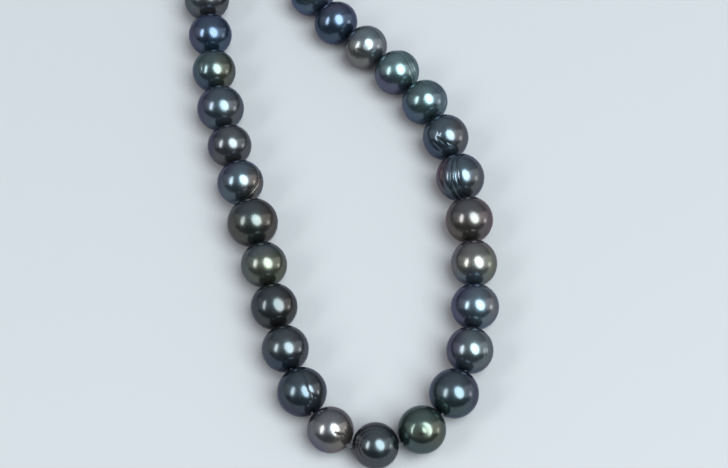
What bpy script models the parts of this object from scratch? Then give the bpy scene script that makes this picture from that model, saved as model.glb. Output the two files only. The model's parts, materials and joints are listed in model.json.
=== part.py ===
"""A single-strand pearl necklace with a lobster clasp, laid as a closed loop on a flat surface.

Forty-three near-round pearls are strung edge to edge on one silk thread. A loop of gimp at each end
of the strand holds a ring, and a sprung lobster claw on one ring hooks the other. The strand
folds like a ribbon at every gap between two pearls, about the line through the matching gaps of
its two arms.

Units are metres and +Z is up. The origin is on the resting surface, under the middle of the loop.
"""

import math

import bmesh
import bpy
import numpy as np
from mathutils import Matrix, Vector

MM = 0.001

# Pearls, from the catch-ring end to the claw end: a grade for each one's length along its bore,
# and a shape for how much wider than long it is.
GRADE_MM = {"s": 9.3, "m": 9.7, "l": 10.1, "x": 10.5}
GRADES = "smsmmlmsmmm" + "mlsmxmmmls" + "s" + "mlmmllxlmmsss" + "mlmsmmms"
SHAPE_WIDTH = {"p": 0.96, "r": 1.0, "o": 1.03, "f": 1.06, "b": 1.09}
SHAPES = "rorfrorrofr" + "roooorrrrr" + "r" + "rrroprrrffbbb" + "forrofrr"
CENTRE_PEARL = 22
PEARL_GAP = 0.25 * MM
BORE_RADIUS = 0.6 * MM
PEARL_SIDES = 12
PEARL_RINGS = 8

# The strand's route on the surface, in millimetres: a closed loop, anticlockwise from the gap
# on the left of the centre pearl.
ROUTE_MM = [
    (-2.4, -47.8), (7.2, -47.6), (15.9, -41.4), (21.2, -31.0), (23.5, -16.0), (22.9, 3.0),
    (19.6, 20.5), (11.5, 37.0), (-2.2, 50.6), (-12.6, 64.0), (-14.3, 80.0), (-7.0, 97.0),
    (1.5, 113.0), (3.0, 130.5), (-6.0, 144.5), (-22.0, 149.0), (-38.0, 142.0), (-46.0, 121.0),
    (-43.5, 93.0), (-36.5, 68.0), (-33.4, 44.0), (-28.0, 19.0), (-21.7, -2.2), (-17.0, -21.5),
    (-13.8, -32.5), (-9.6, -41.2),
]
SPLINE_STEPS = 40

# Silk and gimp
SILK_RADIUS = 0.3 * MM
SILK_INSET = 0.3 * MM
GIMP_RADIUS = 0.5 * MM
GIMP_ROOT_SPREAD = 0.62 * MM
GIMP_BIGHT_RADIUS = 1.35 * MM
GIMP_END_GAP = 0.25 * MM
GIMP_LEG_STEPS = 6
GIMP_BEND_STEPS = 5

# Rings, as the wire's radius and the radius of the wire's centre line
CATCH_WIRE = 0.55 * MM
CATCH_RADIUS = 2.95 * MM
JUMP_WIRE = 0.45 * MM
JUMP_RADIUS = 2.05 * MM
JUMP_CUT_DEG = 4.0

# Lobster claw, in its own frame: origin at the eyelet's centre, +X towards the hook
CLAW_THICK = 3.0 * MM
CLAW_MID_Z = 2.8 * MM
EYELET_RADIUS = 1.9 * MM
EYELET_HOLE = 1.0 * MM
EYELET_THICK = 1.2 * MM
EYELET_PLAY = 0.3 * MM
CATCH_IN_CLAW = 10.9 * MM
SLOT_WIDTH = 1.9 * MM
SLOT_LOW_MM = (3.3, -5.0)
SLOT_HIGH_MM = (8.2, 0.35)
LEVER_SHIFT = 0.25 * MM
PIVOT = (4.6 * MM, -1.0 * MM)
PIN_RADIUS = 0.38 * MM
PIN_CLEARANCE = 0.07 * MM
CLEARANCE = 0.12 * MM
CUT_PAST = 1.0 * MM

# The spring round the lever's pin
SPRING_WIRE = 0.09 * MM
SPRING_PLAY = 0.2 * MM
SPRING_TURNS = 2
SPRING_STEPS = 12
SPRING_PITCH = 2.3 * SPRING_WIRE
SPRING_LEG_IN = 0.35 * MM
SPRING_LEG_OUT = 0.5 * MM

# The claw's arms, as a centre line in millimetres with the half-width and half-thickness at each
# point.
CLAW_ARM_MM = [
    (2.2, 0.0, 1.3, 1.5), (3.4, 0.0, 1.8, 1.5), (5.0, 0.3, 2.3, 1.5), (7.0, 1.9, 1.5, 1.4),
    (9.2, 2.8, 1.05, 1.1), (11.2, 2.45, 0.9, 0.85), (12.6, 1.1, 0.85, 0.75),
    (12.8, -0.6, 0.8, 0.7), (12.0, -1.95, 0.72, 0.68), (10.95, -2.55, 0.6, 0.62),
]
LEVER_ARM_MM = [
    (4.6, -1.0, 0.95, 0.62), (6.2, -1.9, 0.75, 0.62), (8.0, -2.4, 0.62, 0.62),
    (9.6, -2.55, 0.55, 0.6),
]
THUMB_TAB_MM = [(4.6, -1.0, 0.7, 0.5), (4.9, -2.8, 0.6, 0.5), (5.1, -3.9, 0.8, 0.5)]
ARM_CORNER = 0.6
ARM_END_DEG = 75.0
ARM_END_THIN = 0.55


# ---------------------------------------------------------------- the strand's route


def closed_spline(points):
    """Closely spaced points on the closed cubic spline through the given points."""
    knots = np.array(points, float)
    count = len(knots)
    after = np.roll(knots, -1, axis=0)
    span = np.linalg.norm(after - knots, axis=1)
    slope = (after - knots) / span[:, None]
    system = np.zeros((count, count))
    for i in range(count):
        system[i, i - 1] = span[i - 1]
        system[i, i] = 2 * (span[i - 1] + span[i])
        system[i, (i + 1) % count] = span[i]
    bend = np.linalg.solve(system, 6 * (slope - np.roll(slope, 1, axis=0)))
    found = []
    for i in range(count):
        b, c, h = bend[i], bend[(i + 1) % count], span[i]
        for step in range(SPLINE_STEPS):
            t = h * step / SPLINE_STEPS
            line = knots[i] * (1 - t / h) + after[i] * t / h
            left = ((h - t) ** 3 / h - (h - t) * h) * b / 6
            right = (t**3 / h - t * h) * c / 6
            found.append(line + left + right)
    return np.array(found)


class Route:
    """The closed route, as a point at each distance along it."""

    def __init__(self, points):
        self.points = np.vstack([points, points[:1]])
        steps = np.linalg.norm(np.diff(self.points, axis=0), axis=1)
        self.at = np.concatenate([[0], np.cumsum(steps)])

    def point(self, distance):
        distance = distance % self.at[-1]
        return np.array([np.interp(distance, self.at, self.points[:, k]) for k in (0, 1)])

    def walk(self, start, chords, way):
        """The points met by stepping off straight chords from a start, one way along the route."""
        met, here = [self.point(start)], start
        for chord in chords:
            there = here + way * chord
            for _ in range(8):
                there += way * (chord - np.linalg.norm(self.point(there) - met[-1]))
            met.append(self.point(there))
            here = there
        return met


def pearl_sizes():
    """(lengths along the bore, widths across it), in order along the strand."""
    lengths = np.array([GRADE_MM[grade] for grade in GRADES]) * MM
    return lengths, lengths * np.array([SHAPE_WIDTH[shape] for shape in SHAPES])


def lay_strand():
    """Where the strand lies: (gap points, pearl centres), in order along the strand.

    A gap point is the middle of the gap between two pearls, and there is one at each end too.
    Every pearl's bore runs straight from one gap point to the next. A bend needs a longer way
    round, so that its two pearls still clear each other, and that is found by repetition.
    """
    lengths, widths = pearl_sizes()
    bluntness = widths**2 / (2 * lengths)
    count = len(lengths)
    route = Route(closed_spline(ROUTE_MM) * MM)
    reach = np.full(count + 1, PEARL_GAP / 2)
    left = CENTRE_PEARL - 1
    for _ in range(8):
        chords = lengths + reach[:-1] + reach[1:]
        up_left = route.walk(0.0, chords[:left][::-1], -1)
        up_right = route.walk(0.0, chords[left:], 1)
        gaps = np.array(up_left[::-1] + up_right[1:])
        links = np.diff(gaps, axis=0)
        heading = np.arctan2(links[:, 1], links[:, 0])
        turn = np.abs((np.diff(heading) + math.pi) % (2 * math.pi) - math.pi)
        between = (bluntness[:-1] + bluntness[1:]) / 2 + PEARL_GAP / 2
        reach[1:-1] = PEARL_GAP / 2 + between * (1 / np.cos(turn / 2) - 1)
    heights = np.concatenate([widths[:1], (widths[:-1] + widths[1:]) / 2, widths[-1:]]) / 2
    gaps = np.column_stack([gaps, heights])
    along = np.diff(gaps, axis=0)
    along /= np.linalg.norm(along, axis=1)[:, None]
    centres = gaps[:-1] + along * (reach[:-1] + lengths / 2)[:, None]
    outer = widths[:, None] / 2
    low = (centres - outer).min(axis=0)
    high = (centres + outer).max(axis=0)
    shift = np.array([(low[0] + high[0]) / 2, (low[1] + high[1]) / 2, low[2]])
    return gaps - shift, centres - shift


def fold_axis(gaps, pearl):
    """(point, direction) of the fold that moves a pearl: the line from the gap on the pearl's
    side nearer the centre pearl to the matching gap of the other arm, left to right."""
    steps = abs(pearl - CENTRE_PEARL)
    left = gaps[CENTRE_PEARL - steps]
    right = gaps[CENTRE_PEARL + steps - 1]
    way = (right - left) / np.linalg.norm(right - left)
    return (left if pearl < CENTRE_PEARL else right), way


# ---------------------------------------------------------------- objects and materials


def clear_scene():
    for obj in list(bpy.data.objects):
        bpy.data.objects.remove(obj, do_unlink=True)


def material(name, colour, roughness, metallic=0.0):
    made = bpy.data.materials.new(name)
    made.use_nodes = True
    shader = made.node_tree.nodes["Principled BSDF"]
    shader.inputs["Base Color"].default_value = (*colour, 1.0)
    shader.inputs["Roughness"].default_value = roughness
    shader.inputs["Metallic"].default_value = metallic
    return made


def add_object(name, data, place, surface):
    made = bpy.data.objects.new(name, data)
    made.matrix_world = place
    data.materials.append(surface)
    bpy.context.scene.collection.objects.link(made)
    return made


def add_empty(name, place):
    made = bpy.data.objects.new(name, None)
    made.empty_display_size = 2 * MM
    made.matrix_world = place
    bpy.context.scene.collection.objects.link(made)
    return made


def hang_from(child, parent):
    """Parents an object and leaves it where it is."""
    child.parent = parent
    child.matrix_parent_inverse = parent.matrix_world.inverted()


def frame_at(point, x_axis, up=(0.0, 0.0, 1.0)):
    """A placement at a point with its X along one direction and its Z as near up as that allows."""
    x = Vector(x_axis).normalized()
    y = Vector(up).cross(x).normalized()
    z = x.cross(y)
    turned = Matrix((x, y, z)).transposed().to_4x4()
    return Matrix.Translation(Vector(point)) @ turned


def mesh_from(name, build, smooth_deg=40.0):
    """A mesh made by a function that fills a bmesh."""
    work = bmesh.new()
    build(work)
    bmesh.ops.recalc_face_normals(work, faces=work.faces[:])
    made = bpy.data.meshes.new(name)
    work.to_mesh(made)
    work.free()
    made.shade_smooth()
    made.set_sharp_from_angle(angle=math.radians(smooth_deg))
    return made


def tube_curve(name, points, radius, closed=False):
    """A round wire through the points, with its ends filled."""
    made = bpy.data.curves.new(name, "CURVE")
    made.dimensions = "3D"
    made.bevel_depth = radius
    made.bevel_resolution = 2
    made.use_fill_caps = not closed
    line = made.splines.new("POLY")
    line.points.add(len(points) - 1)
    for spot, point in zip(line.points, points):
        spot.co = (*point, 1.0)
    line.use_cyclic_u = closed
    line.use_smooth = True
    return made


# ---------------------------------------------------------------- the strand


def pearl_mesh(name, length, width):
    """A drilled pearl about its centre, with the bore along X."""
    first = math.asin(BORE_RADIUS / (width / 2))
    angles = [first + (math.pi - 2 * first) * k / PEARL_RINGS for k in range(PEARL_RINGS + 1)]
    profile = [(-length / 2 * math.cos(a), -width / 2 * math.sin(a)) for a in angles]

    def build(work):
        spots = [work.verts.new((x, 0.0, z)) for x, z in profile]
        edges = [work.edges.new(pair) for pair in zip(spots, spots[1:] + spots[:1])]
        bmesh.ops.spin(
            work,
            geom=spots + edges,
            cent=(0, 0, 0),
            axis=(1, 0, 0),
            angle=math.tau,
            steps=PEARL_SIDES,
            use_merge=True,
        )
        bmesh.ops.remove_doubles(work, verts=work.verts[:], dist=0.001 * MM)

    return mesh_from(name, build)


def add_pearls(gaps, centres):
    """The pearls, each on an empty whose X is its fold axis. Returns the empties by pearl."""
    nacre = material("nacre", (0.08, 0.10, 0.13), 0.25)
    folds = {}
    for index, (length, width, centre) in enumerate(zip(*pearl_sizes(), centres)):
        number = index + 1
        name = f"pearl_{number:02d}"
        along = gaps[number] - gaps[index]
        place = frame_at(centre, along)
        pearl = add_object(name, pearl_mesh(name, length, width), place, nacre)
        if number == CENTRE_PEARL:
            folds[number] = add_empty("centre_rest", place)
        else:
            point, way = fold_axis(gaps, number)
            folds[number] = add_empty(f"fold_{number:02d}", frame_at(point, way))
        hang_from(pearl, folds[number])
    for number in folds:
        if number != CENTRE_PEARL:
            inner = number + (1 if number < CENTRE_PEARL else -1)
            hang_from(folds[number], folds[inner])
    return folds


def add_silk(gaps, centres):
    """The thread through every bore, ending just inside the two end pearls."""
    points = gaps.copy()
    for end, centre in ((0, centres[0]), (-1, centres[-1])):
        inward = centre - points[end]
        points[end] += inward / np.linalg.norm(inward) * (PEARL_GAP / 2 + SILK_INSET)
    silk = material("silk", (0.05, 0.05, 0.06), 0.8)
    return add_object("silk_thread", tube_curve("silk_thread", points, SILK_RADIUS), Matrix(), silk)


# ---------------------------------------------------------------- the clasp row


class ClaspRow:
    """Places along the straight line between the strand's two ends, left to right."""

    def __init__(self, gaps):
        self.left, self.right = Vector(gaps[0]), Vector(gaps[-1])
        way = self.right - self.left
        way.z = 0.0
        self.span = way.length
        self.way = way.normalized()
        self.side = Vector((0, 0, 1)).cross(self.way)
        slack = self.span - self.fixed_length()
        self.gimp_left = slack / 2
        catch_left_wire = self.gimp_left
        self.catch_centre = catch_left_wire + CATCH_RADIUS
        catch_right_wire = self.catch_centre + CATCH_RADIUS
        self.eyelet = catch_right_wire + CATCH_IN_CLAW
        self.jump_centre = self.eyelet + EYELET_HOLE - JUMP_WIRE - EYELET_PLAY + JUMP_RADIUS
        self.jump_right_wire = self.jump_centre + JUMP_RADIUS

    @staticmethod
    def fixed_length():
        """From the catch ring's far wire to the jump ring's far wire."""
        jump = EYELET_HOLE - JUMP_WIRE - EYELET_PLAY + 2 * JUMP_RADIUS
        return 2 * CATCH_RADIUS + CATCH_IN_CLAW + jump

    def point(self, along, aside=0.0, height=0.0):
        spot = self.left + self.way * along + self.side * aside
        spot.z = height
        return spot


def gimp_points(row, end, outward, wire_at, wire_radius, height):
    """A loop of gimp from an end pearl round a ring's wire and back.

    It leaves along the pearl's bore, outward. The ring's wire stands upright, wire_at along the
    row, and the loop's bight lies just inside the ring.
    """
    toward = 1.0 if end == 0 else -1.0
    root = row.left if end == 0 else row.right
    start = 0.0 if end == 0 else row.span
    tip = wire_at + toward * (wire_radius + CLEARANCE + GIMP_RADIUS)
    bend_centre = tip - toward * GIMP_BIGHT_RADIUS
    half = []
    for k in range(GIMP_LEG_STEPS + 1):
        share = k / GIMP_LEG_STEPS
        ease = share * share * (3 - 2 * share)
        along = start + (bend_centre - start) * share
        half.append((along, GIMP_ROOT_SPREAD + (GIMP_BIGHT_RADIUS - GIMP_ROOT_SPREAD) * ease))
    for k in range(1, GIMP_BEND_STEPS + 1):
        angle = math.pi / 2 * k / GIMP_BEND_STEPS
        along = bend_centre + toward * GIMP_BIGHT_RADIUS * math.sin(angle)
        half.append((along, GIMP_BIGHT_RADIUS * math.cos(angle)))
    whole = half + [(along, -aside) for along, aside in half[-2::-1]]
    bore_side = Vector((0, 0, 1)).cross(outward) * toward
    points = []
    for along, aside in whole:
        share = abs(along - start) / abs(tip - start)
        flat = row.point(along, aside, root.z + (height - root.z) * share)
        way = math.copysign(GIMP_ROOT_SPREAD, aside)
        leaving = root + outward * GIMP_END_GAP + bore_side * way
        square = row.point(start, way, root.z)
        points.append(flat + (leaving - square) * (1 - share) ** 2)
    return points


def ring_points(row, centre, radius, height, cut_deg=0.0, count=28):
    """Points round a ring that stands upright in the row's plane, its cut at the top."""
    cut = math.radians(cut_deg)
    turn = math.tau - cut
    last = count if not cut_deg else count - 1
    points = []
    for k in range(count):
        angle = math.pi / 2 + cut / 2 + turn * k / last
        along = centre + radius * math.cos(angle)
        points.append(row.point(along, 0.0, height + radius * math.sin(angle)))
    return points


def smooth_line(points, steps=5):
    """Points on a Catmull-Rom curve through rows of numbers."""
    rows = np.array(points, float)
    rows = np.vstack([2 * rows[0] - rows[1], rows, 2 * rows[-1] - rows[-2]])
    found = []
    for a, b, c, d in zip(rows, rows[1:], rows[2:], rows[3:]):
        for k in range(steps):
            t = k / steps
            found.append(
                0.5 * (2 * b + (c - a) * t + (2 * a - 5 * b + 4 * c - d) * t**2
                       + (3 * b - 3 * c + d - a) * t**3)
            )
    found.append(rows[-2])
    return np.array(found)


def arm_section(half_width, half_thick):
    """A rounded rectangle about the origin, as (aside, height) pairs."""
    corner = ARM_CORNER * min(half_width, half_thick)
    points = []
    for quarter in range(4):
        base = math.pi / 2 * quarter
        right, up = (1, 1, -1, -1)[quarter], (1, -1, -1, 1)[quarter]
        middle = (right * (half_width - corner), up * (half_thick - corner))
        for step in range(3):
            angle = math.pi / 2 - base - math.pi / 4 * step
            points.append(
                (middle[0] + corner * math.cos(angle), middle[1] + corner * math.sin(angle))
            )
    return points


def arm_mesh(name, rows_mm, shift=(0.0, 0.0, 0.0), steps=3, cap_steps=3):
    """A solid arm swept along a curved centre line, with rounded ends."""
    rows = smooth_line(rows_mm, steps) * MM
    way = np.gradient(rows[:, :2], axis=0)
    way /= np.linalg.norm(way, axis=1)[:, None]
    stations = list(zip(rows[:, :2], way, rows[:, 2], rows[:, 3]))
    for at_end in (False, True):
        middle, ahead, half_width, half_thick = stations[-1 if at_end else 0]
        outward = ahead if at_end else -ahead
        for k in range(1, cap_steps + 1):
            angle = math.radians(ARM_END_DEG) * k / cap_steps
            centre = middle + outward * half_width * math.sin(angle)
            shrunk = math.cos(angle)
            thin = half_thick * (ARM_END_THIN + (1 - ARM_END_THIN) * shrunk)
            station = (centre, ahead, half_width * shrunk, thin)
            stations.insert(len(stations) if at_end else 0, station)

    def build(work):
        loops = []
        for centre, ahead, half_width, half_thick in stations:
            side = np.array([-ahead[1], ahead[0]])
            spots = []
            for aside, height in arm_section(half_width, half_thick):
                x, y = centre + side * aside
                spots.append(work.verts.new((x - shift[0], y - shift[1], height - shift[2])))
            loops.append(spots)
        for loop, after in zip(loops, loops[1:]):
            for k in range(len(loop)):
                nxt = (k + 1) % len(loop)
                work.faces.new((loop[k], loop[nxt], after[nxt], after[k]))
        work.faces.new(loops[0][::-1])
        work.faces.new(loops[-1])

    return mesh_from(name, build)


def cylinder_mesh(name, radius, half_height, sides):
    """A cylinder about the origin, standing along Z."""

    def build(work):
        bmesh.ops.create_cone(
            work,
            cap_ends=True,
            segments=sides,
            radius1=radius,
            radius2=radius,
            depth=2 * half_height,
        )

    return mesh_from(name, build)


def box_mesh(name, low, high):
    def build(work):
        size = [b - a for a, b in zip(low, high)]
        middle = [(a + b) / 2 for a, b in zip(low, high)]
        shape = Matrix.Translation(middle) @ Matrix.Diagonal((*size, 1.0))
        bmesh.ops.create_cube(work, size=1.0, matrix=shape)

    return mesh_from(name, build)


def combine(target, other, operation):
    """Adds a Boolean that keeps its other shape as a hidden helper."""
    other.hide_render = True
    other.display_type = "WIRE"
    change = target.modifiers.new(other.name, "BOOLEAN")
    change.operation = operation
    change.object = other


def add_claw_body(place, metal):
    """The claw's fixed half: eyelet, slotted shoulder and hooked arm."""
    body = add_object("claw_body", arm_mesh("claw_body", CLAW_ARM_MM), place, metal)
    eye = cylinder_mesh("eyelet_disc", EYELET_RADIUS, EYELET_THICK / 2, 24)
    cut = CLAW_THICK / 2 + CUT_PAST
    hole = cylinder_mesh("eyelet_hole", EYELET_HOLE, cut, 20)
    pin_hole = cylinder_mesh("pin_hole", PIN_RADIUS + PIN_CLEARANCE, cut, 16)
    low = (SLOT_LOW_MM[0] * MM, SLOT_LOW_MM[1] * MM, -SLOT_WIDTH / 2)
    high = (SLOT_HIGH_MM[0] * MM, SLOT_HIGH_MM[1] * MM, SLOT_WIDTH / 2)
    slot = box_mesh("lever_slot", low, high)
    shapes = (
        (eye, "UNION", (0.0, 0.0)),
        (hole, "DIFFERENCE", (0.0, 0.0)),
        (slot, "DIFFERENCE", (0.0, 0.0)),
        (pin_hole, "DIFFERENCE", PIVOT),
    )
    for mesh, operation, (x, y) in shapes:
        other = add_object(mesh.name, mesh, place @ Matrix.Translation((x, y, 0)), metal)
        combine(body, other, operation)
    return body


def add_claw_lever(place, metal):
    """The sprung half: a finger that shuts the claw, and its thumb tab."""
    pivot = place @ Matrix.Translation((*PIVOT, 0))
    finger = arm_mesh("claw_lever", LEVER_ARM_MM, (*PIVOT, -LEVER_SHIFT))
    tab = arm_mesh("thumb_tab", THUMB_TAB_MM, (*PIVOT, -LEVER_SHIFT))
    hole = cylinder_mesh("lever_hole", PIN_RADIUS + PIN_CLEARANCE, CLAW_THICK / 2 + CUT_PAST, 16)
    lever = add_object("claw_lever", finger, pivot, metal)
    combine(lever, add_object("thumb_tab", tab, pivot, metal), "UNION")
    combine(lever, add_object("lever_hole", hole, pivot, metal), "DIFFERENCE")
    return lever


def spring_points():
    """A torsion spring round the pin: a straight leg, its turns and a straight leg."""
    radius = PIN_RADIUS + SPRING_PLAY
    low = -SLOT_WIDTH / 2 + SPRING_WIRE + SPRING_PLAY / 4
    points = [Vector((-SPRING_LEG_IN, -radius, low))]
    for k in range(SPRING_TURNS * SPRING_STEPS + 1):
        turns = k / SPRING_STEPS
        angle = math.tau * turns - math.pi / 2
        height = low + SPRING_PITCH * turns
        points.append(Vector((radius * math.cos(angle), radius * math.sin(angle), height)))
    points.append(points[-1] + Vector((SPRING_LEG_OUT, 0.0, 0.0)))
    return points


def add_clasp(row, gaps, folds):
    """The gimp loops, rings and claw between the strand's two ends."""
    metal = material("white_metal", (0.80, 0.80, 0.82), 0.22, 1.0)
    gimp = material("gimp", (0.62, 0.62, 0.64), 0.38, 1.0)
    catch_z = CATCH_RADIUS + CATCH_WIRE
    jump_z = JUMP_RADIUS + JUMP_WIRE

    loops = {}
    ends = (
        ("gimp_left", 0, row.gimp_left, CATCH_WIRE, catch_z, 1),
        ("gimp_right", 1, row.jump_right_wire, JUMP_WIRE, jump_z, len(GRADES)),
    )
    for name, end, wire_at, wire, height, pearl in ends:
        outward = Vector(gaps[0] - gaps[1] if end == 0 else gaps[-1] - gaps[-2]).normalized()
        points = gimp_points(row, end, outward, wire_at, wire, height)
        hinge = add_empty(f"{name}_fold", frame_at(row.left if end == 0 else row.right, row.way))
        loop = add_object(name, tube_curve(name, points, GIMP_RADIUS), Matrix(), gimp)
        hang_from(loop, hinge)
        hang_from(hinge, folds[pearl])
        loops[name] = hinge

    catch = ring_points(row, row.catch_centre, CATCH_RADIUS, catch_z)
    jump = ring_points(row, row.jump_centre, JUMP_RADIUS, jump_z, JUMP_CUT_DEG)
    ring = add_object("catch_ring", tube_curve("catch_ring", catch, CATCH_WIRE, True), Matrix(), metal)
    link = add_object("jump_ring", tube_curve("jump_ring", jump, JUMP_WIRE), Matrix(), metal)
    hang_from(ring, loops["gimp_left"])
    hang_from(link, loops["gimp_right"])

    place = frame_at(row.point(row.eyelet, 0.0, CLAW_MID_Z), -row.way)
    swing = add_empty("claw_swing", place)
    hang_from(swing, link)
    hang_from(add_claw_body(place, metal), swing)
    pivot = add_empty("lever_pivot", place @ Matrix.Translation((*PIVOT, 0)))
    hang_from(pivot, swing)
    hang_from(add_claw_lever(place, metal), pivot)
    pin = cylinder_mesh("lever_pin", PIN_RADIUS, CLAW_THICK / 2, 16)
    hang_from(add_object("lever_pin", pin, pivot.matrix_world.copy(), metal), swing)
    coil = tube_curve("lever_spring", spring_points(), SPRING_WIRE)
    hang_from(add_object("lever_spring", coil, pivot.matrix_world.copy(), metal), swing)


def main():
    clear_scene()
    gaps, centres = lay_strand()
    folds = add_pearls(gaps, centres)
    add_silk(gaps, centres)
    add_clasp(ClaspRow(gaps), gaps, folds)


main()
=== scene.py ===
"""The look of the pearl necklace: dark peacock pearls on silk, gimp loops and a lobster clasp.

Directions on a pearl are given as (right, up, near), as the viewer sees it from the camera.
"""

import json
import math
import random

import bpy
import numpy as np
from mathutils import Matrix, Vector


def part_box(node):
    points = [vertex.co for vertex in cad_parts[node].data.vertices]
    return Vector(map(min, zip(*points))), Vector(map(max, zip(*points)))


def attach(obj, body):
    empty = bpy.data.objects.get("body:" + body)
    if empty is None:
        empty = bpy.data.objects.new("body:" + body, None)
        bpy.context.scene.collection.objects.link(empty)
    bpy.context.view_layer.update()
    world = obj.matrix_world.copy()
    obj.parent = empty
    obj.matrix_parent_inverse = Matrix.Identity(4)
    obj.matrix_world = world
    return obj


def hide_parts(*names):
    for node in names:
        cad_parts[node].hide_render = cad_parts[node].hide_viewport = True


MM = 0.001
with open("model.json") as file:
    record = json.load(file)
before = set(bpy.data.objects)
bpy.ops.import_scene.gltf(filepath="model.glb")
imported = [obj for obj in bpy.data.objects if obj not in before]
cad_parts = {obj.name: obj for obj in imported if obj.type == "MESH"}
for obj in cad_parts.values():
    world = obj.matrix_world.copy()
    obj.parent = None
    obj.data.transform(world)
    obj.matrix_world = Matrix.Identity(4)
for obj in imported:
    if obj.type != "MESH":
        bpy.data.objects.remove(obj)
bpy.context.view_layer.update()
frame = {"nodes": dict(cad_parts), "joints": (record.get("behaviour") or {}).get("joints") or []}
joints = {joint["name"]: joint for joint in frame["joints"]}

# The strand: its pearls, the number of the lowest one, and the bore through each
PEARLS = 43
CENTRE = 22
BORE_RADIUS = 0.6 * MM

# A pearl's mesh: (sides, rings) of a marked one and of a plain one, its sharp edges, and the
# bore's lining, by its radius and by the share of the half length at which it starts
MARKED_MESH = (180, 120)
PLAIN_MESH = (72, 48)
SHARP_EDGE = math.radians(50)
LINING_RADIUS = 0.9 * BORE_RADIUS
LINING_END = 0.93

# Unevenness, in shares of the radius: flattening along two axes, and shallow dents, each with a
# depth and a width in radians from these ranges
FLATTENING = (0.012, 0.008)
DENTS = 5
DENT_DEPTH = (0.001, 0.004)
DENT_WIDTH = (0.3, 0.7)

# Silk: its plies, their turns along one pearl, and how far the end pearls' silk stops short
SILK_PLIES = 3
SILK_TURNS = 3.0
SILK_STEPS = 20
PLY_RADIUS = 0.15 * MM
SILK_SHORT = 0.7 * MM

# The two threads from an end pearl's bore into its gimp: how far in they start, and off its axis
THREAD_RADIUS = 0.2 * MM
THREAD_INSIDE = 0.45 * MM
THREAD_ASIDE = THREAD_INSIDE / 4

# Gimp: its loop's half-widths at the pearl and at the bight, the silk core in it, and its winding.
# The winding has its points at an even spacing along the loop and some to each turn, and the core
# has one for every few of them.
GIMP_GAP = 0.25 * MM
GIMP_ROOT = 0.62 * MM
GIMP_BIGHT = 1.35 * MM
GIMP_PAST_WIRE = 1.15 * MM
GIMP_OUTER = 0.5 * MM
GIMP_WIRE = 0.08 * MM
GIMP_CORE = GIMP_OUTER - 1.6 * GIMP_WIRE
LEG_STEPS = 12
BEND_STEPS = 8
WINDING_SPACING = GIMP_WIRE / 3
WINDING_STEPS = 7
CORE_EVERY = 6

# Clasp: the wire of its rings, the open ring's cut, and the grain of the claw's rounded mesh
CATCH_WIRE = 0.55 * MM
JUMP_WIRE = 0.45 * MM
JUMP_CUT = math.radians(4)
RING_STEPS = 96
CLAW_GRAIN = 0.07 * MM
CLAW_ROUNDING = 5

# How finely a wire is rounded, from its bevel's resolution
ROUND_RING = 8
ROUND_THREAD = 4
ROUND_PLY = 2
ROUND_WINDING = 1

# The viewer, looking down at the resting surface, and the spot looked at, from the centre pearl
ELEVATION = math.radians(61)
DISTANCE = 0.350
AIM = Vector((-2.3, 47.7, 0)) * MM
LENS = 82
SENSOR = 36
RIGHT = Vector((1, 0, 0))
UP = Vector((0, math.sin(ELEVATION), math.cos(ELEVATION)))
NEAR = Vector((0, -math.cos(ELEVATION), math.sin(ELEVATION)))


def seen(right, up, near=0.0):
    """A direction given as the viewer sees it."""
    return (RIGHT * right + UP * up + NEAR * near).normalized()


# Stage: how far off the lights stand, the floor's half-width and its drop below the pearls, and
# where the floor's paler part begins and ends
LIGHT_REACH = 2.0
FLOOR_HALF = 6.0
FLOOR_DROP = 0.05 * MM
FLOOR_PALER = (0.5, 2.5)

# The dome: the direction along which it brightens, and its (height along that, colour) stops
DOME_AXIS = (0, 0.45, 0.89)
DOME_DARK = (0.15, (0.07, 0.08, 0.10, 1))
DOME_LIGHT = (0.95, (0.80, 0.86, 0.95, 1))
DOME_STRENGTH = 0.78


# ---------------------------------------------------------------- where things are


def gap_points():
    """The middle of each gap along the strand, with one more at each end."""
    names = [f"fold_{k:02d}" for k in range(1, PEARLS + 1) if k != CENTRE]
    names = ["gimp_left_fold"] + names + ["gimp_right_fold"]
    return [Vector(joints[name]["pos_m"]) for name in names]


gaps = gap_points()


def bore_way(number):
    """The direction of a pearl's bore."""
    return (gaps[number] - gaps[number - 1]).normalized()


def pearl_place(number):
    """(centre, half its length along the bore, half its width across it) of a pearl."""
    low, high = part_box(f"pearl_{number:02d}")
    centre, half_width = (low + high) / 2, (high.z - low.z) / 2
    way = bore_way(number)
    corners = frame["nodes"][f"pearl_{number:02d}"].data.vertices
    tip = max((corner.co - centre).dot(way) for corner in corners)
    return centre, tip / math.sqrt(1 - (BORE_RADIUS / half_width) ** 2), half_width


# ---------------------------------------------------------------- node helpers


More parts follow.
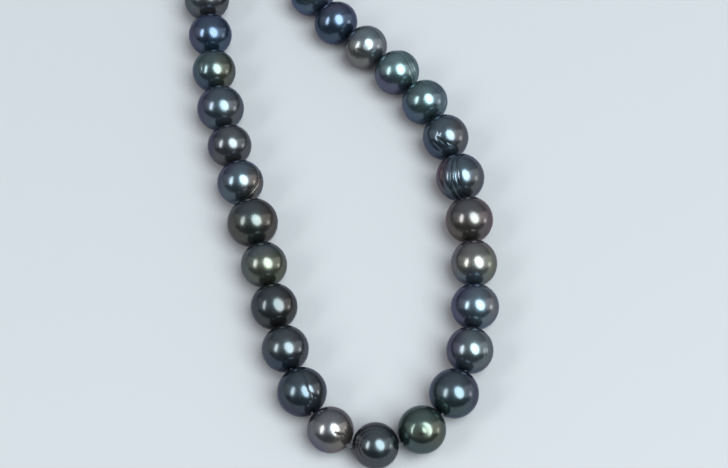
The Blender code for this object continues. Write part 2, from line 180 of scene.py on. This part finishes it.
class Nodes:
    """Short ways to build one material's nodes."""

    def __init__(self, name):
        self.material = bpy.data.materials.new(name)
        self.material.use_nodes = True
        self.tree = self.material.node_tree
        self.shader = self.tree.nodes["Principled BSDF"]

    def add(self, kind, **settings):
        made = self.tree.nodes.new(kind)
        for key, value in settings.items():
            setattr(made, key, value)
        return made

    def link(self, source, target):
        self.tree.links.new(source, target)

    def feed(self, node, name, value):
        """Sets an input, or links it if the value is another node's output."""
        socket = node.inputs[name]
        if isinstance(value, bpy.types.NodeSocket):
            self.link(value, socket)
        else:
            socket.default_value = value

    def set(self, name, value):
        self.feed(self.shader, name, value)

    def coords(self):
        return self.add("ShaderNodeTexCoord").outputs["Object"]

    def noise(self, scale, detail=2.0, distortion=0.0, shift=(0, 0, 0)):
        place = self.add("ShaderNodeMapping")
        self.link(self.coords(), place.inputs["Vector"])
        place.inputs["Location"].default_value = shift
        made = self.add("ShaderNodeTexNoise")
        self.link(place.outputs["Vector"], made.inputs["Vector"])
        made.inputs["Scale"].default_value = scale
        made.inputs["Detail"].default_value = detail
        made.inputs["Distortion"].default_value = distortion
        return made.outputs["Fac"]

    def ranged(self, value, low, high, to_low=0.0, to_high=1.0):
        made = self.add("ShaderNodeMapRange", interpolation_type="SMOOTHSTEP")
        self.link(value, made.inputs["Value"])
        for key, number in zip(
            ("From Min", "From Max", "To Min", "To Max"), (low, high, to_low, to_high)
        ):
            made.inputs[key].default_value = number
        return made.outputs["Result"]

    def mix(self, share, first, second):
        made = self.add("ShaderNodeMix", data_type="RGBA")
        self.feed(made, 0, share)
        for index, value in ((6, first), (7, second)):
            if isinstance(value, bpy.types.NodeSocket):
                self.link(value, made.inputs[index])
            else:
                made.inputs[index].default_value = (*value, 1.0)
        return made.outputs[2]

    def toward(self, direction):
        """How far the surface point lies towards a direction from the object's origin, in metres."""
        made = self.add("ShaderNodeVectorMath", operation="DOT_PRODUCT")
        self.link(self.coords(), made.inputs[0])
        made.inputs[1].default_value = tuple(direction)
        return made.outputs["Value"]

    def bump(self, height, distance, strength=1.0):
        made = self.add("ShaderNodeBump")
        self.link(height, made.inputs["Height"])
        made.inputs["Distance"].default_value = distance
        made.inputs["Strength"].default_value = strength
        return made.outputs["Normal"]


# ---------------------------------------------------------------- pearls

# Nacre tones, as shares of red, green and blue
TONES = {
    "teal": (0.73, 1.12, 1.16),
    "green": (0.79, 1.19, 1.02),
    "moss": (0.90, 1.09, 1.00),
    "olive": (1.05, 1.11, 0.84),
    "slate": (0.83, 1.04, 1.13),
    "steel": (0.74, 1.02, 1.24),
    "indigo": (0.48, 0.74, 1.16),
    "violet": (0.62, 0.60, 1.00),
    "haze": (0.92, 1.00, 1.08),
    "mauve": (0.99, 0.98, 1.03),
    "plum": (1.10, 0.92, 0.98),
    "rose": (1.34, 0.81, 0.97),
    "pewter": (1.06, 1.01, 0.93),
    "bronze": (1.13, 0.99, 0.88),
}

COMMON_TONES = ("slate", "steel", "haze", "mauve", "moss", "teal", "pewter")
RARER_TONES = ("indigo", "violet", "olive", "bronze")

# Each pearl in sight: its tone, how bright it is, and its patches of another tone, each with the
# direction that it lies in, as the viewer sees it. Besides the pearl's own overtone, the patches
# paint sheen and shade as seen from the camera: the violet and indigo ones towards the lower left
# are painted shade, and those at the rims and beside the highlights are painted reflection tints.
LOOKS = {
    11: ("indigo", 1.0, [("violet", (-1, 0, 0))]),
    12: ("teal", 0.88, [("indigo", (-0.6, -0.8, 0.1)), ("olive", (0.9, -0.1, 0.4))]),
    13: ("steel", 0.92, [("violet", (-0.9, 0.1, 0.1)), ("haze", (0.8, -0.3, 0.3))]),
    14: ("haze", 0.82, [("violet", (-0.9, 0.2, 0.0)), ("mauve", (0.35, -0.75, 0.5))]),
    15: ("steel", 1.00, [("violet", (-0.8, 0.5, 0.0)), ("bronze", (0.9, -0.3, 0.3))]),
    16: ("moss", 0.62, [("slate", (0.0, 0.9, 0.3)), ("bronze", (0.9, 0.0, 0.2)),
                        ("bronze", (-0.8, -0.5, 0.1))]),
    17: ("moss", 0.95, [("slate", (0.0, 0.9, 0.2)), ("olive", (0.5, -0.3, 0.8))]),
    18: ("slate", 0.46, [("pewter", (0.2, -0.9, 0.3)), ("pewter", (0.9, 0.0, 0.3))]),
    19: ("slate", 0.70, [("indigo", (-0.2, -0.9, 0.2)), ("haze", (0.9, 0.1, 0.3))]),
    20: ("steel", 0.60, [("violet", (-0.3, -0.9, 0.0)), ("haze", (0.9, 0.3, 0.1))]),
    21: ("mauve", 1.50, [("violet", (-0.6, -0.8, -0.3)), ("bronze", (0.8, -0.4, 0.4))]),
    22: ("haze", 0.66, [("slate", (0.2, 0.1, 1.0)), ("mauve", (-0.8, -0.5, 0.1))]),
    23: ("green", 0.78, [("olive", (0.4, -0.5, 0.7)), ("teal", (-0.3, -0.9, 0.2))]),
    24: ("steel", 0.70, [("teal", (-0.4, -0.8, 0.4)), ("violet", (0.9, 0.1, -0.1))]),
    25: ("haze", 1.18, [("indigo", (-0.3, -0.9, 0.0)), ("slate", (0.3, 0.1, 0.9)),
                        ("violet", (-0.95, 0.3, 0.0))]),
    26: ("steel", 1.22, [("violet", (-0.7, -0.7, 0.0)), ("mauve", (0.9, 0.1, 0.1)),
                         ("violet", (-0.8, 0.6, -0.1))]),
    27: ("mauve", 1.32, [("pewter", (0.1, 0.0, 1.0)), ("steel", (0.0, -0.95, 0.2)),
                         ("olive", (0.95, -0.1, 0.1))]),
    28: ("bronze", 0.90, [("mauve", (-0.3, 0.8, 0.4)), ("plum", (0.95, 0.0, 0.1))]),
    29: ("steel", 0.88, [("rose", (-1.0, 0.15, -0.25)), ("mauve", (0.9, -0.3, 0.2))]),
    30: ("steel", 0.88, [("indigo", (-0.5, -0.8, 0.0)), ("mauve", (0.8, 0.1, 0.3))]),
    31: ("teal", 1.25, [("indigo", (-0.7, -0.7, 0.0)), ("steel", (0.9, 0.2, 0.2))]),
    32: ("teal", 1.45, [("violet", (-0.7, -0.7, 0.0)), ("violet", (-0.1, -0.95, 0.0))]),
    33: ("haze", 1.60, [("slate", (0.1, 0.9, 0.3)), ("pewter", (-0.6, -0.7, 0.3))]),
    34: ("indigo", 0.95, [("violet", (0.0, 0.95, 0.1))]),
    35: ("indigo", 1.25, [("steel", (0.2, 0.2, 1.0))]),
}

# Marks that the nacre grew with, in shares of the radius. A ring is (axis, where along it, width,
# depth, the side it shows on), a crease (start, end, width, depth), a bowl (middle, width, depth).
RINGS = {
    15: [((0.50, -0.50, -0.70), 0.05, 0.050, 0.050, (0.7, -0.7, 0.2))],
    22: [
        ((-0.10, 0.05, 1.0), 0.78, 0.050, 0.030, (-1.0, 0.1, 0.2)),
        ((-0.10, 0.05, 1.0), 0.64, 0.050, 0.030, (-1.0, 0.1, 0.2)),
    ],
    29: [
        ((-0.68, 0.00, -0.74), 0.13, 0.100, 0.075, (-0.5, 0, 1)),
        ((-0.86, -0.10, -0.50), -0.04, 0.100, 0.075, (-0.4, 0, 1)),
        ((-0.92, -0.17, -0.36), -0.16, 0.090, 0.060, (-0.3, 0, 1)),
    ],
    31: [
        ((0.06, -0.03, 1.0), 0.51, 0.050, 0.040, (0.9, 0, 0.2)),
        ((0.06, -0.03, 1.0), 0.63, 0.050, 0.030, (0.9, 0, 0.2)),
    ],
    32: [
        ((0.83, 0.43, -0.36), 0.30, 0.050, 0.040, (0.9, 0.3, 0.4)),
        ((0.83, 0.43, -0.36), 0.43, 0.050, 0.034, (0.9, 0.3, 0.4)),
    ],
}
CREASES = {
    12: [((-0.42, 0.45, 0.8), (-0.46, -0.15, 0.88), 0.05, 0.020)],
    20: [((-0.05, 0.95, 0.25), (0.35, 0.10, 0.93), 0.08, 0.040),
         ((0.30, 0.25, 0.90), (0.62, -0.68, 0.35), 0.08, 0.050)],
    21: [((0.18, 0.02, 0.98), (0.80, -0.42, 0.40), 0.07, 0.045),
         ((0.42, -0.22, 0.88), (0.82, -0.50, 0.25), 0.05, 0.025),
         ((0.45, 0.25, 0.85), (0.88, -0.25, 0.40), 0.05, 0.020)],
    25: [((0.55, 0.30, 0.78), (0.60, -0.35, 0.72), 0.05, 0.016)],
    30: [((-0.42, 0.02, 0.90), (0.00, -0.38, 0.92), 0.06, 0.034),
         ((-0.66, -0.15, 0.72), (-0.25, -0.62, 0.74), 0.06, 0.032),
         ((-0.02, -0.22, 0.97), (0.45, -0.48, 0.75), 0.05, 0.028),
         ((-0.20, 0.42, 0.88), (-0.32, 0.05, 0.94), 0.05, 0.016)],
    33: [((-0.45, -0.15, 0.88), (0.10, -0.42, 0.90), 0.08, 0.018)],
}
BOWLS = {
    18: [((0.10, 0.08, 1.0), 0.42, 0.018)],
    23: [((-0.06, 0.02, 1.0), 0.32, 0.032), ((-0.03, 0.06, 1.0), 0.12, -0.010)],
    33: [((0.05, -0.12, 1.0), 0.12, 0.008)],
}


# A mark's shape: the half-width of a valley's round bed, where a ring begins to show on its side
# and over how much of it, and how bluntly a crease's ends taper
VALLEY_BED = 0.2
RING_FROM = -0.25
RING_OVER = 0.7
CREASE_TAPER = 0.6


def valley(across):
    """A valley of unit depth with a narrow bed and slopes that ease out."""
    return np.exp(VALLEY_BED - np.sqrt(across**2 + VALLEY_BED**2))


def ring_depth(points, ring):
    """A growth ring: a valley round an axis, fading out past the side it shows on."""
    axis, at, width, depth, side = ring
    facing = np.clip((points @ np.array(seen(*side)) - RING_FROM) / RING_OVER, 0, 1)
    reach = facing * facing * (3 - 2 * facing)
    return depth * reach * valley((points @ np.array(seen(*axis)) - at) / width)


def crease_depth(points, crease):
    """A crease: a valley between two directions, tapering at both ends."""
    start, end, width, depth = crease
    start, end = seen(*start), seen(*end)
    pole = start.cross(end).normalized()
    span = start.angle(end)
    along = np.arctan2(points @ np.array(pole.cross(start)), points @ np.array(start)) / span
    inside = np.sin(np.pi * np.clip(along, 0, 1)) ** CREASE_TAPER
    facing = points @ np.array((start + end).normalized()) > 0
    return depth * inside * facing * valley(points @ np.array(pole) / width)


def bowl_depth(points, bowl):
    """A bowl: a round hollow with a flat bed, or a bump where its depth is negative."""
    middle, width, depth = bowl
    apart = np.arccos(np.clip(points @ np.array(seen(*middle)), -1, 1)) / width
    return depth * np.exp(-(apart**4))


def pearl_radii(points, number, chance):
    """The radius in each direction, as a share of the full one, for a slightly uneven pearl."""
    share = np.ones(len(points))
    for strength in FLATTENING:
        axis = Vector([chance.gauss(0, 1) for _ in range(3)]).normalized()
        share -= strength * chance.random() * (points @ np.array(axis)) ** 2
    for _ in range(DENTS):
        middle = Vector([chance.gauss(0, 1) for _ in range(3)]).normalized()
        apart = np.arccos(np.clip(points @ np.array(middle), -1, 1))
        depth = chance.uniform(*DENT_DEPTH)
        width = chance.uniform(*DENT_WIDTH)
        share -= depth * np.exp(-((apart / width) ** 2))
    kinds = ((RINGS, ring_depth), (CREASES, crease_depth), (BOWLS, bowl_depth))
    for marks, mark_depth in kinds:
        for mark in marks.get(number, []):
            share -= mark_depth(points, mark)
    return share


def spread(shares, direction):
    """That share of a direction, for each of the shares."""
    return np.multiply.outer(shares, np.array(direction))


def pearl_mesh(name, number, half_length, half_width):
    """A drilled pearl about its centre, denser where it is marked."""
    chance = random.Random(100 + number)
    marked = any(number in marks for marks in (RINGS, CREASES, BOWLS))
    sides, rings = MARKED_MESH if marked else PLAIN_MESH
    first = math.asin(BORE_RADIUS / half_width)
    x = bore_way(number)
    y = Vector((0, 0, 1)).cross(x).normalized()
    z = x.cross(y)
    angles = first + (math.pi - 2 * first) * np.arange(rings + 1) / rings
    turns = math.tau * np.arange(sides) / sides
    ring, turn = np.meshgrid(angles, turns, indexing="ij")
    around = spread(np.cos(turn), y) + spread(np.sin(turn), z)
    outward = spread(-np.cos(ring), x) + np.sin(ring)[..., None] * around
    spots = spread(-np.cos(ring) * half_length, x) + (np.sin(ring) * half_width)[..., None] * around
    spots = spots.reshape(-1, 3)
    spots *= pearl_radii(outward.reshape(-1, 3), number, chance)[:, None]
    lining = [
        np.array(x) * end * half_length + around[0] * LINING_RADIUS
        for end in (-LINING_END, LINING_END)
    ]
    spots = np.vstack([spots, *lining])
    faces = []
    for row in range(rings):
        for k in range(sides):
            nxt = (k + 1) % sides
            a, b = row * sides, (row + 1) * sides
            faces.append((a + k, b + k, b + nxt, a + nxt))
    last = rings * sides
    low, high = last + sides, last + 2 * sides
    for k in range(sides):
        nxt = (k + 1) % sides
        faces.append((low + k, k, nxt, low + nxt))
        faces.append((last + k, high + k, high + nxt, last + nxt))
        faces.append((high + k, low + k, low + nxt, high + nxt))
    mesh = bpy.data.meshes.new(name)
    mesh.from_pydata([tuple(s) for s in spots], [], faces)
    mesh.validate()
    mesh.shade_smooth()
    mesh.set_sharp_from_angle(angle=SHARP_EDGE)
    return mesh


# Nacre: how bright a tone is in the body, in its clouds and in its patches, the flecks against
# the body, and the shares of the tone that tint its mirrored edge
BODY_SHARE = 0.080
BLOOM_SHARE = 0.098
PATCH_SHARE = 0.087
FLECK_GAIN = 1.5
EDGE_TINT = (0.34, 0.26, 0.34)


def nacre(number, radius, look, chance):
    """One pearl's nacre: its tone in soft clouds, its patches of overtone with painted sheen and
    shade, and a soft deep gloss.
    """
    tone, bright, patches = look
    hue = TONES[tone]
    body = tuple(BODY_SHARE * bright * h for h in hue)
    bloom = tuple(BLOOM_SHARE * bright * h for h in hue)
    made = Nodes(f"nacre_{number:02d}")
    shift = tuple(chance.uniform(0, 5) for _ in range(3))
    clouds = made.noise(170, 2.0, 0.6, shift)
    colour = made.mix(made.ranged(clouds, 0.35, 0.68), body, bloom)
    # Patches on the sides facing given directions: partly the nacre's own overtone, partly painted
    # sheen and painted shade fixed to the sides the camera sees
    for patch_tone, direction in patches:
        patch = tuple(PATCH_SHARE * bright * h for h in TONES[patch_tone])
        side = made.ranged(made.toward(seen(*direction)), 0.25 * radius, 0.85 * radius)
        colour = made.mix(side, colour, patch)
    flecks = made.ranged(made.noise(900, 3.0, 0.2, shift), 0.52, 0.8, 0.0, 0.5)
    colour = made.mix(flecks, colour, tuple(c * FLECK_GAIN for c in body))
    made.set("Base Color", colour)
    made.set("Metallic", 0.92)
    made.set("Roughness", made.ranged(made.noise(400, 3.0, 0.0, shift), 0.3, 0.7, 0.21, 0.29))
    edge = tuple(share * h for share, h in zip(EDGE_TINT, hue))
    made.set("Specular Tint", (*edge, 1.0))
    made.set("Coat Weight", 0.5)
    made.set("Coat Roughness", 0.15)
    made.set("Coat IOR", 1.5)
    made.set("Normal", made.bump(made.noise(650, 3.0, 0.0, shift), 0.03 * MM, 0.4))
    return made.material


def guessed_look(chance):
    """The look of a pearl that is out of sight: one of the same family."""
    patches = []
    for _ in range(2):
        way = tuple(chance.uniform(-1, 1) for _ in range(3))
        patches.append((chance.choice(COMMON_TONES + RARER_TONES), way))
    return chance.choice(COMMON_TONES), chance.uniform(0.7, 1.1), patches


def add_pearls():
    """Every pearl, with its own mesh and its own nacre."""
    for number in range(1, PEARLS + 1):
        chance = random.Random(number)
        name = f"nacre_pearl_{number:02d}"
        centre, half_length, half_width = pearl_place(number)
        mesh = pearl_mesh(name, number, half_length, half_width)
        pearl = bpy.data.objects.new(name, mesh)
        pearl.location = centre
        look = LOOKS.get(number) or guessed_look(chance)
        mesh.materials.append(nacre(number, half_width, look, chance))
        bpy.context.scene.collection.objects.link(pearl)
        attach(pearl, f"pearl_{number:02d}")
        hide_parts(f"pearl_{number:02d}")


# ---------------------------------------------------------------- silk


def silk_material():
    """Black silk with fine fibres."""
    made = Nodes("silk_twist")
    fibres = made.noise(6000, 2.0)
    made.set("Base Color", made.mix(fibres, (0.02, 0.02, 0.025), (0.07, 0.07, 0.08)))
    made.set("Roughness", made.ranged(fibres, 0.3, 0.7, 0.5, 0.8))
    made.set("Sheen Weight", 0.3)
    made.set("Normal", made.bump(fibres, 0.02 * MM, 0.5))
    return made.material


def add_silk(silk):
    """The thread as three twisted plies, in one length for each pearl's body."""
    for number in range(1, PEARLS + 1):
        start, end = gaps[number - 1], gaps[number]
        inward = bore_way(number) * SILK_SHORT
        if number == 1:
            start = start + inward
        elif number == PEARLS:
            end = end - inward
        way = end - start
        x = way.normalized()
        y = Vector((0, 0, 1)).cross(x).normalized()
        z = x.cross(y)
        data = bpy.data.curves.new(f"silk_{number:02d}", "CURVE")
        data.dimensions = "3D"
        data.bevel_depth = PLY_RADIUS
        data.bevel_resolution = ROUND_PLY
        data.use_fill_caps = True
        for ply in range(SILK_PLIES):
            line = data.splines.new("POLY")
            line.points.add(SILK_STEPS)
            for k in range(SILK_STEPS + 1):
                turn = math.tau * (ply / SILK_PLIES + SILK_TURNS * k / SILK_STEPS)
                aside = (y * math.cos(turn) + z * math.sin(turn)) * PLY_RADIUS
                spot = start + way * (k / SILK_STEPS) + aside
                line.points[k].co = (*spot, 1.0)
            line.use_smooth = True
        thread = bpy.data.objects.new(f"silk_{number:02d}", data)
        data.materials.append(silk)
        bpy.context.scene.collection.objects.link(thread)
        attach(thread, f"pearl_{number:02d}")
        if number == CENTRE:
            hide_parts("silk_thread")


# ---------------------------------------------------------------- clasp


def metal_material(name, colour, roughness):
    """Polished metal with faint smears."""
    made = Nodes(name)
    smear = made.noise(500, 4.0, 0.5)
    made.set("Base Color", made.mix(smear, colour, tuple(c * 0.86 for c in colour)))
    made.set("Metallic", 1.0)
    made.set("Roughness", made.ranged(smear, 0.3, 0.7, roughness, roughness + 0.12))
    made.set("Normal", made.bump(made.noise(2500, 3.0), 0.01 * MM, 0.4))
    return made.material


def gimp_path(root, outward, wire):
    """The middle line of a gimp loop: out of an end pearl, round a ring's wire, and back in."""
    ahead = Vector((wire.x - root.x, wire.y - root.y, 0))
    reach = ahead.length + GIMP_PAST_WIRE
    ahead.normalize()
    side = Vector((0, 0, 1)).cross(ahead)
    bend = reach - GIMP_BIGHT
    half = []
    for k in range(LEG_STEPS + 1):
        share = k / LEG_STEPS
        ease = share * share * (3 - 2 * share)
        half.append((bend * share, GIMP_ROOT + (GIMP_BIGHT - GIMP_ROOT) * ease))
    for k in range(1, BEND_STEPS + 1):
        angle = math.pi / 2 * k / BEND_STEPS
        half.append((bend + GIMP_BIGHT * math.sin(angle), GIMP_BIGHT * math.cos(angle)))
    whole = half + [(along, -aside) for along, aside in half[-2::-1]]
    bore_side = Vector((0, 0, 1)).cross(outward)
    points = []
    for along, aside in whole:
        share = along / reach
        way = math.copysign(GIMP_ROOT, aside)
        flat = root + ahead * along + side * aside
        flat.z = root.z + (wire.z - root.z) * share
        leaving = root + outward * GIMP_GAP + bore_side * way
        points.append(flat + (leaving - root - side * way) * (1 - share) ** 2)
    return points


def even_points(points, spacing):
    """The same line with points at an even spacing."""
    line = np.array([tuple(p) for p in points])
    steps = np.linalg.norm(np.diff(line, axis=0), axis=1)
    at = np.concatenate([[0], np.cumsum(steps)])
    wanted = np.linspace(0, at[-1], int(at[-1] / spacing) + 1)
    return np.column_stack([np.interp(wanted, at, line[:, k]) for k in range(3)])


def wire_piece(name, points, radius, roundness, material, closed=False):
    """A round wire along a line of points, joined end to end if it is closed."""
    data = bpy.data.curves.new(name, "CURVE")
    data.dimensions = "3D"
    data.bevel_depth = radius
    data.bevel_resolution = roundness
    data.use_fill_caps = not closed
    line = data.splines.new("POLY")
    line.points.add(len(points) - 1)
    line.use_cyclic_u = closed
    for spot, point in zip(line.points, points):
        spot.co = (*point, 1.0)
    line.use_smooth = True
    data.materials.append(material)
    made = bpy.data.objects.new(name, data)
    bpy.context.scene.collection.objects.link(made)
    return made


def add_gimp(metal, silk):
    """Each gimp loop: silk inside a close winding of fine wire, and two threads into the bore."""
    ends = (
        ("gimp_left", gaps[0], gaps[0] - gaps[1], "catch_ring_roll"),
        ("gimp_right", gaps[-1], gaps[-1] - gaps[-2], "jump_ring_roll"),
    )
    for name, root, outward, ring in ends:
        way = outward.normalized()
        path = gimp_path(root, way, Vector(joints[ring]["pos_m"]))
        middle = even_points(path, WINDING_SPACING)
        core = wire_piece(f"{name}_core", middle[::CORE_EVERY], GIMP_CORE, ROUND_THREAD, silk)
        ahead = np.gradient(middle, axis=0)
        ahead /= np.linalg.norm(ahead, axis=1)[:, None]
        up = np.array((0.0, 0.0, 1.0))
        side = np.cross(up, ahead)
        side /= np.linalg.norm(side, axis=1)[:, None]
        above = np.cross(ahead, side)
        turn = math.tau * np.arange(len(middle)) / WINDING_STEPS
        coil = GIMP_OUTER - GIMP_WIRE
        wound = middle + coil * (side * np.cos(turn)[:, None] + above * np.sin(turn)[:, None])
        winding = wire_piece(f"{name}_winding", wound, GIMP_WIRE, ROUND_WINDING, metal)
        threads = []
        for label, leg in (("over", path[:3]), ("under", path[:-4:-1])):
            offset = leg[0] - root
            aside = offset - way * offset.dot(way)
            inside = root - way * THREAD_INSIDE + aside * THREAD_ASIDE / GIMP_ROOT
            line = [inside, *leg]
            thread = wire_piece(f"{name}_thread_{label}", line, THREAD_RADIUS, ROUND_THREAD, silk)
            threads.append(thread)
        pieces = [(winding, "gimp")] + [(piece, "silk") for piece in [core] + threads]
        for piece, slot in pieces:
            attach(piece, name)
        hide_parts(name)


def add_rings(metal):
    """The catch ring and the open jump ring, as round wire in the row's upright plane."""
    middles = [sum(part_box(name), Vector()) / 2 for name in ("catch_ring", "jump_ring")]
    way = middles[1] - middles[0]
    way.z = 0
    way.normalize()
    for name, middle, wire, cut in (
        ("catch_ring", middles[0], CATCH_WIRE, 0.0),
        ("jump_ring", middles[1], JUMP_WIRE, JUMP_CUT),
    ):
        radius = (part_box(name)[1].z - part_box(name)[0].z) / 2 - wire
        first, turn = math.pi / 2 + cut / 2, math.tau - cut
        points = []
        for k in range(RING_STEPS if not cut else RING_STEPS + 1):
            angle = first + turn * k / RING_STEPS
            along = way * radius * math.cos(angle)
            points.append(middle + along + Vector((0, 0, radius * math.sin(angle))))
        ring = wire_piece(f"{name}_wire", points, wire, ROUND_RING, metal, closed=not cut)
        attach(ring, name)
        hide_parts(name)


def add_rounded(name, body, metal):
    """A cast piece with its edges rounded over, from the node's own mesh."""
    rough = bpy.data.objects.new(f"{name}_rough", frame["nodes"][name].data.copy())
    bpy.context.scene.collection.objects.link(rough)
    grain = rough.modifiers.new("grain", "REMESH")
    grain.mode = "VOXEL"
    grain.voxel_size = CLAW_GRAIN
    soften = rough.modifiers.new("soften", "SMOOTH")
    soften.factor = 0.5
    soften.iterations = CLAW_ROUNDING
    rounded = rough.evaluated_get(bpy.context.evaluated_depsgraph_get())
    mesh = bpy.data.meshes.new_from_object(rounded)
    bpy.data.objects.remove(rough)
    mesh.shade_smooth()
    mesh.materials.clear()
    mesh.materials.append(metal)
    piece = bpy.data.objects.new(f"{name}_cast", mesh)
    bpy.context.scene.collection.objects.link(piece)
    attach(piece, body)
    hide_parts(name)


def finish_clasp(silk):
    """The rings, the claw and the gimp, with the lever's pin and spring in the same metal."""
    metal = metal_material("polished_white_metal", (0.78, 0.78, 0.80), 0.12)
    for name in ("lever_pin", "lever_spring"):
        for slot in frame["nodes"][name].material_slots:
            slot.material = metal
    add_rings(metal)
    add_rounded("claw_body", "claw", metal)
    add_rounded("claw_lever", "lever", metal)
    add_gimp(metal_material("wound_wire", (0.72, 0.72, 0.74), 0.22), silk)


# ---------------------------------------------------------------- stage


def add_floor():
    """A matt floor, paler further away, where less light reaches it."""
    made = Nodes("pale_floor")
    wash = made.mix(made.noise(2.5, 2.0), (0.284, 0.275, 0.284), (0.298, 0.287, 0.293))
    away = made.add("ShaderNodeVectorMath", operation="LENGTH")
    made.link(made.coords(), away.inputs[0])
    far = made.ranged(away.outputs["Value"], *FLOOR_PALER)
    made.set("Base Color", made.mix(far, wash, (0.56, 0.55, 0.56)))
    made.set("Roughness", 0.7)
    made.set("Normal", made.bump(made.noise(900, 3.0), 0.02 * MM, 0.3))
    data = bpy.data.meshes.new("floor")
    corners = [(-1, -1), (1, -1), (1, 1), (-1, 1)]
    data.from_pydata([(x * FLOOR_HALF, y * FLOOR_HALF, 0) for x, y in corners], [], [(0, 1, 2, 3)])
    data.materials.append(made.material)
    floor = bpy.data.objects.new("floor", data)
    floor.location.z = -FLOOR_DROP
    bpy.context.scene.collection.objects.link(floor)


def mirror_way(right, up):
    """The direction that a ball's surface mirrors to the viewer from that place on its disc."""
    near = math.sqrt(1 - right * right - up * up)
    normal = RIGHT * right + UP * up + NEAR * near
    return (normal * (2 * near) - NEAR).normalized()


# Each softbox: its name, its spot on a pearl's disc, size, radiance, colour, roll, and whether it
# is an ellipse
SOFTBOXES = (
    ("window", (0.19, 0.08), (0.72, 1.02), 12.5, (0.82, 0.97, 1.0), 0.42, True),
    ("left_strip", (-0.35, 0.06), (0.29, 0.68), 10, (0.95, 1.0, 1.0), -0.15, True),
    ("right_strip", (0.64, -0.02), (0.26, 0.25), 4.0, (1.0, 0.99, 0.96), 0.0, True),
    ("right_fill", (0.55, 0.09), (1.3, 0.78), 1.1, (1.0, 1.0, 1.0), 0.0, False),
    ("left_fill", (-0.56, 0.10), (1.0, 0.74), 0.5, (1.0, 1.0, 1.0), 0.0, False),
)


def add_softbox(target, name, spot, size, radiance, colour, roll, elliptical):
    """A light that shows as a highlight at that spot on a pearl's disc, its size as if 1 m away."""
    width, height = (side * LIGHT_REACH for side in size)
    data = bpy.data.lights.new(name, "AREA")
    data.shape = "ELLIPSE" if elliptical else "RECTANGLE"
    data.size, data.size_y = width, height
    data.energy = radiance * math.pi * width * height * (math.pi / 4 if elliptical else 1)
    data.color = colour
    way = mirror_way(*spot)
    across = UP.cross(way).normalized()
    turn = Matrix((across, way.cross(across), way)).transposed()
    box = bpy.data.objects.new(name, data)
    turn = turn @ Matrix.Rotation(roll, 3, "Z")
    box.matrix_world = Matrix.LocRotScale(target + way * LIGHT_REACH, turn, None)
    box.visible_camera = False
    bpy.context.scene.collection.objects.link(box)


def add_studio():
    """A dim soft dome, darker towards the viewer and near the horizon."""
    world = bpy.data.worlds.new("studio")
    bpy.context.scene.world = world
    world.use_nodes = True
    tree = world.node_tree
    back = tree.nodes["Background"]
    coords = tree.nodes.new("ShaderNodeTexCoord")
    height = tree.nodes.new("ShaderNodeVectorMath")
    height.operation = "DOT_PRODUCT"
    height.inputs[1].default_value = DOME_AXIS
    tree.links.new(coords.outputs["Generated"], height.inputs[0])
    ramp = tree.nodes.new("ShaderNodeValToRGB")
    for stop, (position, colour) in zip(ramp.color_ramp.elements, (DOME_DARK, DOME_LIGHT)):
        stop.position = position
        stop.color = colour
    tree.links.new(height.outputs["Value"], ramp.inputs["Fac"])
    tree.links.new(ramp.outputs["Color"], back.inputs["Color"])
    back.inputs["Strength"].default_value = DOME_STRENGTH


def add_camera_and_lights():
    """The viewer's camera, with the softboxes placed by where a pearl mirrors them."""
    target = pearl_place(CENTRE)[0] + AIM
    data = bpy.data.cameras.new("camera")
    data.sensor_width = SENSOR
    data.lens = LENS
    data.clip_start, data.clip_end = 0.01, 20
    camera = bpy.data.objects.new("camera", data)
    camera.location = target + NEAR * DISTANCE
    camera.rotation_euler = (-NEAR).to_track_quat("-Z", "Y").to_euler()
    bpy.context.scene.collection.objects.link(camera)
    bpy.context.scene.camera = camera

    for softbox in SOFTBOXES:
        add_softbox(target, *softbox)
    add_studio()
    bpy.context.scene.view_settings.view_transform = "Standard"


add_pearls()
silk_twist = silk_material()
add_silk(silk_twist)
finish_clasp(silk_twist)
add_floor()
add_camera_and_lights()
